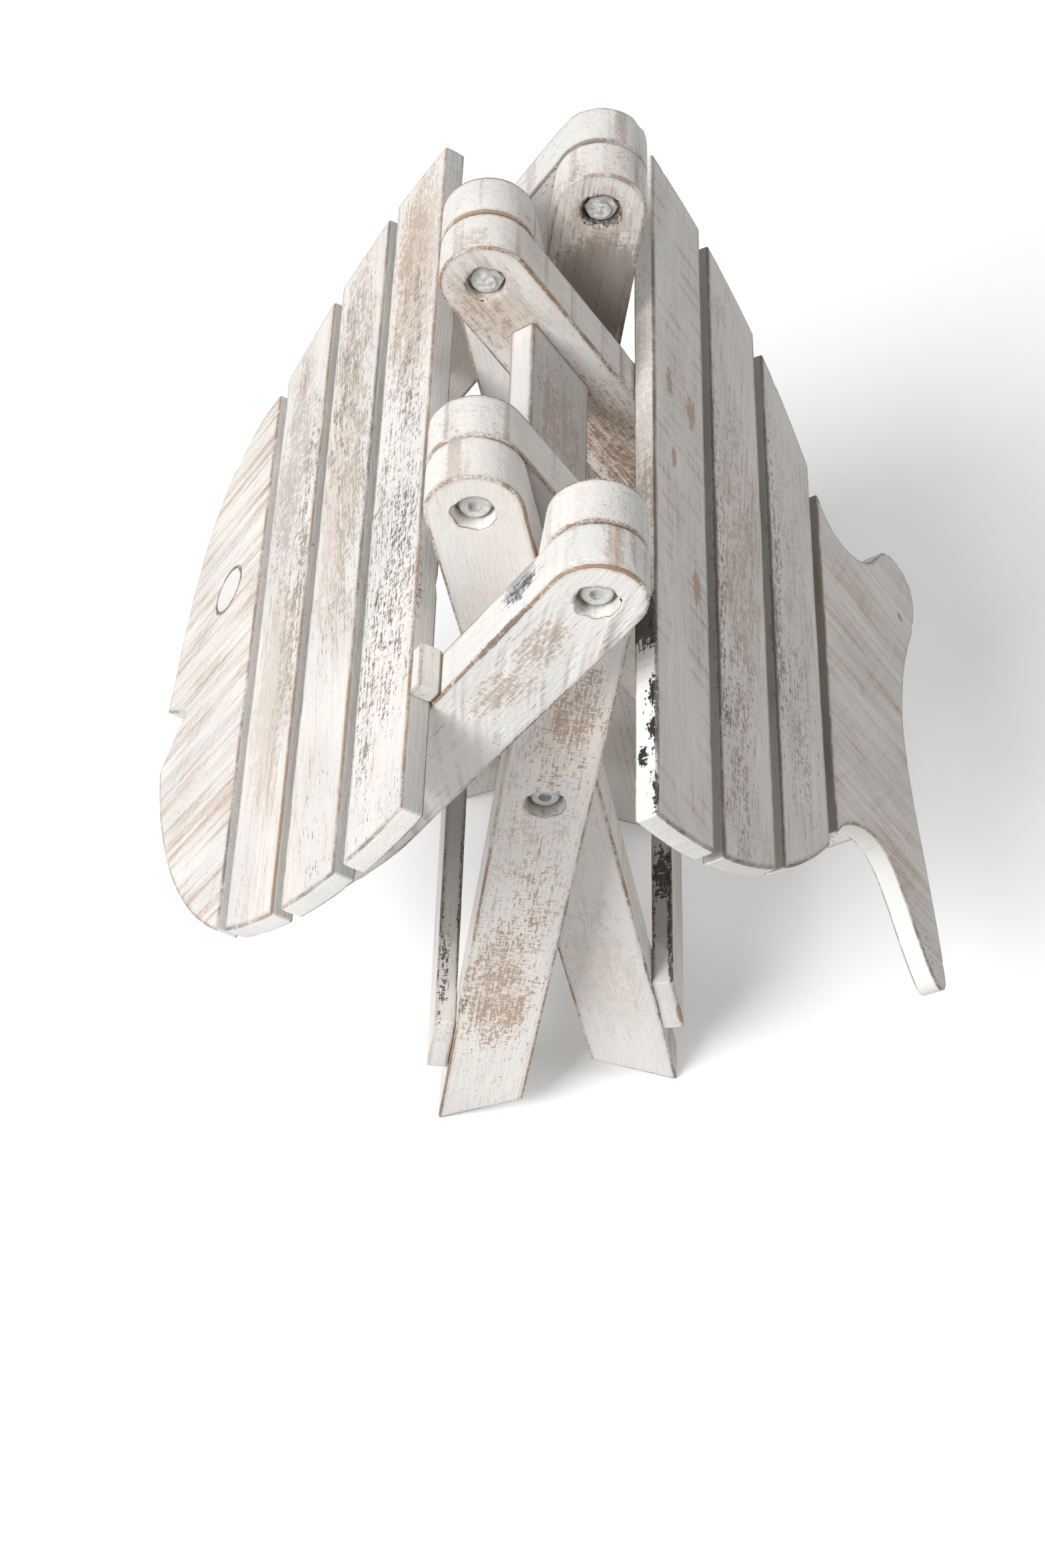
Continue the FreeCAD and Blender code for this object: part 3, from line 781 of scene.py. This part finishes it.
class STOOL_OT_slats(bpy.types.Operator):
    """Slats across the fish, three on each half"""

    bl_idname = "stool.slats"
    bl_label = "Slats"

    def execute(self, context):
        # Painted shade: grey on the side of a slat that faces into the gap, a black line along the top edge above
        # it, and grey on the other side of the left slats.
        gap = Mark("gap", (0.0, SLAT_SIDE, 0.0), (900.0, 1.0, 30.0), 0.8, 0.1)
        crevice_shade = Mark("soot_and_shade", (-20.0, 22.2, SLAT_TOP), (260.0, 1.6, 1.6), 0.75, 0.5, 0.8)
        shade = Mark("gap", (0.0, -SLAT_SIDE, 0.0), (900.0, 1.0, 30.0), 0.3, 0.1)
        looks = {
            "left_slat_1": Look(11, veil=0.4, flecks=0.2, marks=(
                Mark("tan", (120.0, -2.0, SLAT_TOP), (130.0, 34.0, 4.0), 0.7, 0.6, 0.7),
                Mark("bare", (150.0, 4.0, SLAT_TOP), (70.0, 26.0, 4.0), 0.4, 0.8, 0.6),
                Mark("grain", (90.0, 2.0, SLAT_TOP), (110.0, 24.0, 4.0), 0.55, 1.0, 0.5),
                Mark("fleck", (10.0, 0.0, SLAT_TOP), (150.0, 30.0, 4.0), 0.65, 1.3, 0.38),
                Mark("fleck", (-62.0, -8.0, SLAT_TOP), (90.0, 24.0, 4.0), 0.85, 1.3, 0.46),
                Mark("fleck", (-104.0, 8.0, SLAT_TOP), (100.0, 22.0, 4.0), 0.8, 1.2, 0.42),
                # Painted shade: grey on the side towards the pivot.
                Mark("gap", (0.0, -SLAT_SIDE, 0.0), (900.0, 1.0, 30.0), 0.4, 0.2))),
            "left_slat_2": Look(12, veil=0.6, tan=0.25, flecks=0.12, twist=-8.0, marks=(
                Mark("tan", (40.0, 2.0, SLAT_TOP), (170.0, 32.0, 4.0), 0.6, 0.7, 0.65),
                Mark("grain", (130.0, 4.0, SLAT_TOP), (100.0, 26.0, 4.0), 0.6, 0.8, 0.6),
                Mark("grain", (20.0, -8.0, SLAT_TOP), (140.0, 20.0, 4.0), 0.6, 1.2, 0.5),
                Mark("fleck", (90.0, 8.0, SLAT_TOP), (95.0, 17.0, 4.0), 0.6, 1.1, 0.4), shade)),
            "left_slat_3": Look(13, veil=0.6, tan=0.3, flecks=0.1, marks=(
                Mark("tan", (-50.0, -2.0, SLAT_TOP), (120.0, 32.0, 4.0), 0.5, 0.6, 0.66),
                Mark("grain", (90.0, 2.0, SLAT_TOP), (120.0, 28.0, 4.0), 0.6, 0.8, 0.62),
                Mark("grain", (-10.0, -12.0, SLAT_TOP), (120.0, 15.0, 4.0), 0.7, 1.2, 0.55),
                Mark("fleck", (40.0, -15.0, SLAT_TOP), (120.0, 10.0, 4.0), 0.6, 1.1, 0.45), shade)),
            "right_slat_1": Look(
                14, veil=0.6, tan=0.2, grain=0.08, flecks=0.005, saw=0.6, saw_centre=(-700.0, 90.0, 0.0),
                marks=(
                    Mark("grain", (0.0, 0.0, SLAT_TOP), (230.0, 34.0, 4.0), 0.25, 0.6, 0.45),
                    Mark("bare", (49.0, -9.5, SLAT_TOP), (19.0, 5.5, 3.0), 0.7, 0.7, 0.8),
                    Mark("bare", (53.0, 9.0, SLAT_TOP), (13.0, 4.0, 3.0), 0.7, 0.7, 0.8),
                    Mark("bare", (-54.0, -12.0, SLAT_TOP), (16.0, 5.0, 3.0), 0.7, 0.7, 0.8),
                    Mark("bare", (8.0, 6.0, SLAT_TOP), (10.0, 4.0, 3.0), 0.7, 0.7, 0.8),
                    Mark("tan", (20.0, SLAT_SIDE, 0.0), (150.0, 1.6, 14.0), 0.45, 0.9, 0.6),
                    Mark("bare", (-30.0, SLAT_SIDE, 2.0), (50.0, 1.6, 9.0), 0.45, 1.1, 0.5),
                    Mark("paint", (-150.0, SLAT_SIDE, 0.0), (60.0, 1.6, 14.0), 1.0, 0.3, 1.0),
                    Mark("soot_and_shade", (-98.0, SLAT_SIDE, 1.0), (21.0, 2.0, 15.0), 0.9, 0.8, 0.75),
                    Mark("soot_and_shade", (-135.0, SLAT_SIDE, 4.5), (13.0, 2.0, 4.5), 1.0, 1.3, 0.75),
                    Mark("soot_and_shade", (-155.0, SLAT_SIDE, 4.0), (9.0, 2.0, 4.0), 1.0, 1.3, 0.75),
                    Mark("soot_and_shade", (-167.0, SLAT_SIDE, -1.0), (7.0, 2.0, 3.5), 1.0, 1.3, 0.75),
                    Mark("soot_and_shade", (-184.0, SLAT_SIDE, 5.0), (16.0, 2.0, 2.5), 1.0, 1.2, 0.75),
                    Mark("soot_and_shade", (-150.0, SLAT_SIDE, 5.0), (70.0, 1.6, 6.0), 1.0, 1.3, 0.32),
                    # Painted shade: a black line along the top edge beside the gap.
                    Mark("soot_and_shade", (-30.0, 22.2, SLAT_TOP), (200.0, 1.3, 1.3), 0.6, 0.3, 0.8))),
            "right_slat_2": Look(15, veil=0.65, tan=0.3, grain=0.15, flecks=0.05, twist=6.0, marks=(
                Mark("tan", (-30.0, 2.0, SLAT_TOP), (150.0, 28.0, 4.0), 0.55, 0.9, 0.55),
                Mark("grain", (0.0, 4.0, SLAT_TOP), (180.0, 30.0, 4.0), 0.45, 1.0, 0.45),
                Mark("fleck", (-30.0, 20.0, SLAT_TOP), (160.0, 8.0, 4.0), 0.7, 1.0, 0.5),
                Mark("fleck", (-120.0, 8.0, SLAT_TOP), (80.0, 20.0, 4.0), 0.6, 1.3, 0.42), gap, crevice_shade)),
            "right_slat_3": Look(16, veil=0.6, tan=0.25, grain=0.12, flecks=0.07, marks=(
                Mark("grain", (0.0, 0.0, SLAT_TOP), (170.0, 32.0, 4.0), 0.4, 0.9, 0.45),
                Mark("fleck", (0.0, 19.0, SLAT_TOP), (150.0, 10.0, 4.0), 0.7, 1.1, 0.5),
                Mark("fleck", (-70.0, 2.0, SLAT_TOP), (70.0, 20.0, 4.0), 0.5, 1.3, 0.4), gap, crevice_shade)),
        }
        grime = {LEFT: 0.35, RIGHT: 0.5}
        for node, look in looks.items():
            side = side_of(node)
            grain = Grain(middle_of(node), TO_BACK, SEAT_NORMALS[side])
            finished(node, grain, replace(look, plain_walls=1.0, dark_side=1, grime=grime[side]))
        return {"FINISHED"}


class STOOL_OT_end_boards(bpy.types.Operator):
    """Head with its eye, and tail"""

    bl_idname = "stool.end_boards"
    bl_label = "Head and tail"

    def execute(self, context):
        looks = {
            "head_board": Look(
                17, veil=0.8, tan=0.36, bare=0.08, grain=0.1, flecks=0.01, streaks=0.7, plain_walls=1.0),
            "eye_disc": Look(18, tan=0.05, flecks=0.02, edge=0.3),
            "tail_board": Look(
                19, veil=0.75, tan=0.3, bare=0.07, grain=0.06, flecks=0.01, streaks=0.6, plain_walls=1.0,
                marks=(
                    Mark("tan", (300.0, -30.0, 30.5), (60.0, 120.0, 4.0), 0.3, 0.9, 0.5),
                    Mark("bare", (329.8, 91.0, 30.5), (5.0, 3.5, 3.0), 0.8, 0.5, 0.8),
                    # Painted shade: a thin grey line across the tail.
                    Mark("gap", (241.2, 0.0, 25.0), (1.2, 600.0, 30.0), 1.0, 0.1))),
        }
        for node, look in looks.items():
            side = side_of(node)
            origin = Vector((PIVOTS[side].x, 0.0, PIVOTS[side].z))
            finished(node, Grain(origin, seat_outward(side), SEAT_NORMALS[side]), look, straight_walls=False)
        return {"FINISHED"}


class STOOL_OT_blocks(bpy.types.Operator):
    """Stop blocks on the left half and the handle board of the right half"""

    bl_idname = "stool.blocks"
    bl_label = "Blocks and handle"

    def execute(self, context):
        looks = {
            "stop_block_front": (Look(20, veil=0.4, tan=0.25, edge=0.9, grime=0.3), 0.5),
            "stop_block_rear": (Look(21), 0.5),
            "handle_board": (Look(22, veil=0.5, tan=0.2, plain_walls=0.4, marks=(
                # Painted shade: grey over the handle's face and along its side, under the slats.
                Mark("gap", (0.0, 0.0, 6.0), (120.0, 60.0, 3.0), 0.4, 0.5, 0.8),
                Mark("gap", (0.0, 22.3, 0.0), (120.0, 2.0, 30.0), 0.15, 0.2),
                Mark("bare", (-8.0, 2.0, 6.0), (60.0, 26.0, 3.0), 0.5, 1.0, 0.6))), 1.0),
        }
        for node, (look, rim_share) in looks.items():
            grain = Grain(middle_of(node), TO_BACK, SEAT_NORMALS[side_of(node)])
            finished(node, grain, look, rim_share)
        return {"FINISHED"}


class STOOL_OT_fasteners(bpy.types.Operator):
    """Bolts and nuts at the pivots, smeared with paint"""

    bl_idname = "stool.fasteners"
    bl_label = "Bolts and nuts"

    def execute(self, context):
        colours = context.scene.stool_colours
        pale = self.steel("Pale steel", colours.steel, colours.cool_paint)
        grey = self.steel("Grey steel", colours.steel, colours.steel)
        for node in [name for name, slot in SLOT_OF.items() if slot == "bolt_steel"]:
            materials = frame["nodes"][node].data.materials
            materials.clear()
            materials.append(grey if node.startswith("cross") else pale)
        return {"FINISHED"}

    def steel(self, name, bright, smeared):
        """Steel with smears of another colour, which are duller and not metal."""
        material = bpy.data.materials.new(name)
        material.use_nodes = True
        finish = Finish(material.node_tree)
        place = finish.place(Grain(CROSS, TO_BACK, UP))
        smear = finish.pattern(place, (2.5, 2.5, 2.5), Vector((3.0, 5.0, 7.0)), 3.0)
        grit = finish.pattern(place, (0.6, 0.6, 0.6), Vector((1.0, 2.0, 4.0)), 2.0)
        share = (smear + grit * 0.3).fade(-0.8, 0.6)
        colour = finish.mix(share, bright, smeared)
        relief = grit * 0.2 + share
        bump = finish.node("ShaderNodeBump", {}, {"Height": relief, "Strength": 0.4, "Distance": 0.0003})
        shader = finish.node("ShaderNodeBsdfPrincipled", {}, {
            "Base Color": colour, "Roughness": 0.35 + share * 0.25, "Metallic": 0.85 - share * 0.85,
            "Normal": bump})
        finish.node("ShaderNodeOutputMaterial", {}, {"Surface": shader})
        return material


class STOOL_OT_stage(bpy.types.Operator):
    """Floor, soft light and camera"""

    bl_idname = "stool.stage"
    bl_label = "Stage"

    def execute(self, context):
        stage = context.scene.stool_stage
        context.scene.view_settings.view_transform = "Standard"
        self.lay_floor(stage)
        self.light(context.scene, stage)
        self.place_camera(context.scene, stage)
        return {"FINISHED"}

    def lay_floor(self, stage):
        """A white floor, which glows for the camera where it is far from the stool."""
        mesh = bmesh.new()
        bmesh.ops.create_grid(mesh, x_segments=1, y_segments=1, size=stage.floor_size / 2)
        shape = bpy.data.meshes.new("floor")
        mesh.to_mesh(shape)
        mesh.free()
        floor = bpy.data.objects.new("floor", shape)
        bpy.context.scene.collection.objects.link(floor)
        material = bpy.data.materials.new("White floor")
        material.use_nodes = True
        finish = Finish(material.node_tree)
        seen = finish.seen()
        white = finish.mix(seen, LIT_FLOOR, SEEN_FLOOR)
        base = finish.node("ShaderNodeBsdfDiffuse", {}, {"Color": white})
        point = finish.node("ShaderNodeTexCoord", {}, {}, "Object")
        away = finish.near(point, (0.0, 0.0, 0.0), (1.0, 1.0, 1.0)).fade(1.0 - GLOW_NEAR, 1.0 - GLOW_FAR)
        glow = finish.mix(away, [stage.floor_lift] * 3, WHITE)
        lift = finish.node("ShaderNodeEmission", {}, {"Color": finish.mix(seen, BLACK, glow)})
        both = finish.node("ShaderNodeAddShader", {}, {0: base, 1: lift})
        finish.node("ShaderNodeOutputMaterial", {}, {"Surface": both})
        shape.materials.append(material)

    def lamp(self, scene, name, place, size, power):
        """A square lamp that shines on the stool."""
        lamp = bpy.data.lights.new(name, "AREA")
        lamp.size = size
        lamp.energy = power
        holder = bpy.data.objects.new(name, lamp)
        holder.location = place
        aim = LAMP_TARGET - Vector(place)
        holder.rotation_euler = aim.to_track_quat("-Z", "Y").to_euler()
        scene.collection.objects.link(holder)

    def light(self, scene, stage):
        """Two soft lamps in an even grey light, with white all round for the camera."""
        self.lamp(scene, "key", stage.key_place, stage.lamp_size, stage.key_power)
        self.lamp(scene, "fill", stage.fill_place, stage.lamp_size, stage.fill_power)
        world = bpy.data.worlds.new("white room")
        world.use_nodes = True
        scene.world = world
        finish = Finish(world.node_tree)
        colour = finish.mix(finish.seen(), [stage.sky] * 3, WHITE)
        shader = finish.node("ShaderNodeBackground", {}, {"Color": colour})
        finish.node("ShaderNodeOutputWorld", {}, {"Surface": shader})

    def place_camera(self, scene, stage):
        """The camera that took the photo."""
        lens = bpy.data.cameras.new("camera")
        lens.lens = stage.lens
        lens.sensor_fit = "AUTO"
        lens.sensor_width = LONG_SIDE
        camera = bpy.data.objects.new("camera", lens)
        turn = Matrix.Rotation(-stage.camera_yaw, 3, "Z")
        turn = turn @ Matrix.Rotation(math.pi / 2 - stage.camera_pitch, 3, "X")
        turn = turn @ Matrix.Rotation(stage.camera_roll, 3, "Z")
        camera.rotation_euler = turn.to_euler()
        camera.location = stage.camera_place
        scene.collection.objects.link(camera)
        scene.camera = camera


class STOOL_PT_pieces(bpy.types.Panel):
    """Lists the operators that build the stool"""

    bl_idname = "STOOL_PT_pieces"
    bl_label = "Folding fish stool"
    bl_space_type = "VIEW_3D"
    bl_region_type = "UI"
    bl_category = "Stool"

    def draw(self, context):
        for operator in OPERATORS:
            self.layout.operator(operator.bl_idname)


GROUPS = {"stool_colours": StoolColours, "stool_wear": StoolWear, "stool_stage": StoolStage}
OPERATORS = (STOOL_OT_legs, STOOL_OT_stretchers, STOOL_OT_battens, STOOL_OT_slats, STOOL_OT_end_boards,
             STOOL_OT_blocks, STOOL_OT_fasteners, STOOL_OT_stage)


def register():
    for name, group in GROUPS.items():
        bpy.utils.register_class(group)
        setattr(bpy.types.Scene, name, PointerProperty(type=group))
    for operator in OPERATORS:
        bpy.utils.register_class(operator)
    bpy.utils.register_class(STOOL_PT_pieces)


def unregister():
    bpy.utils.unregister_class(STOOL_PT_pieces)
    for operator in reversed(OPERATORS):
        bpy.utils.unregister_class(operator)
    for name, group in reversed(GROUPS.items()):
        delattr(bpy.types.Scene, name)
        bpy.utils.unregister_class(group)


def main():
    """Build the stool and its stage."""
    register()
    bpy.ops.stool.legs()
    bpy.ops.stool.stretchers()
    bpy.ops.stool.battens()
    bpy.ops.stool.slats()
    bpy.ops.stool.end_boards()
    bpy.ops.stool.blocks()
    bpy.ops.stool.fasteners()
    bpy.ops.stool.stage()


if __name__ == "__main__":
    main()
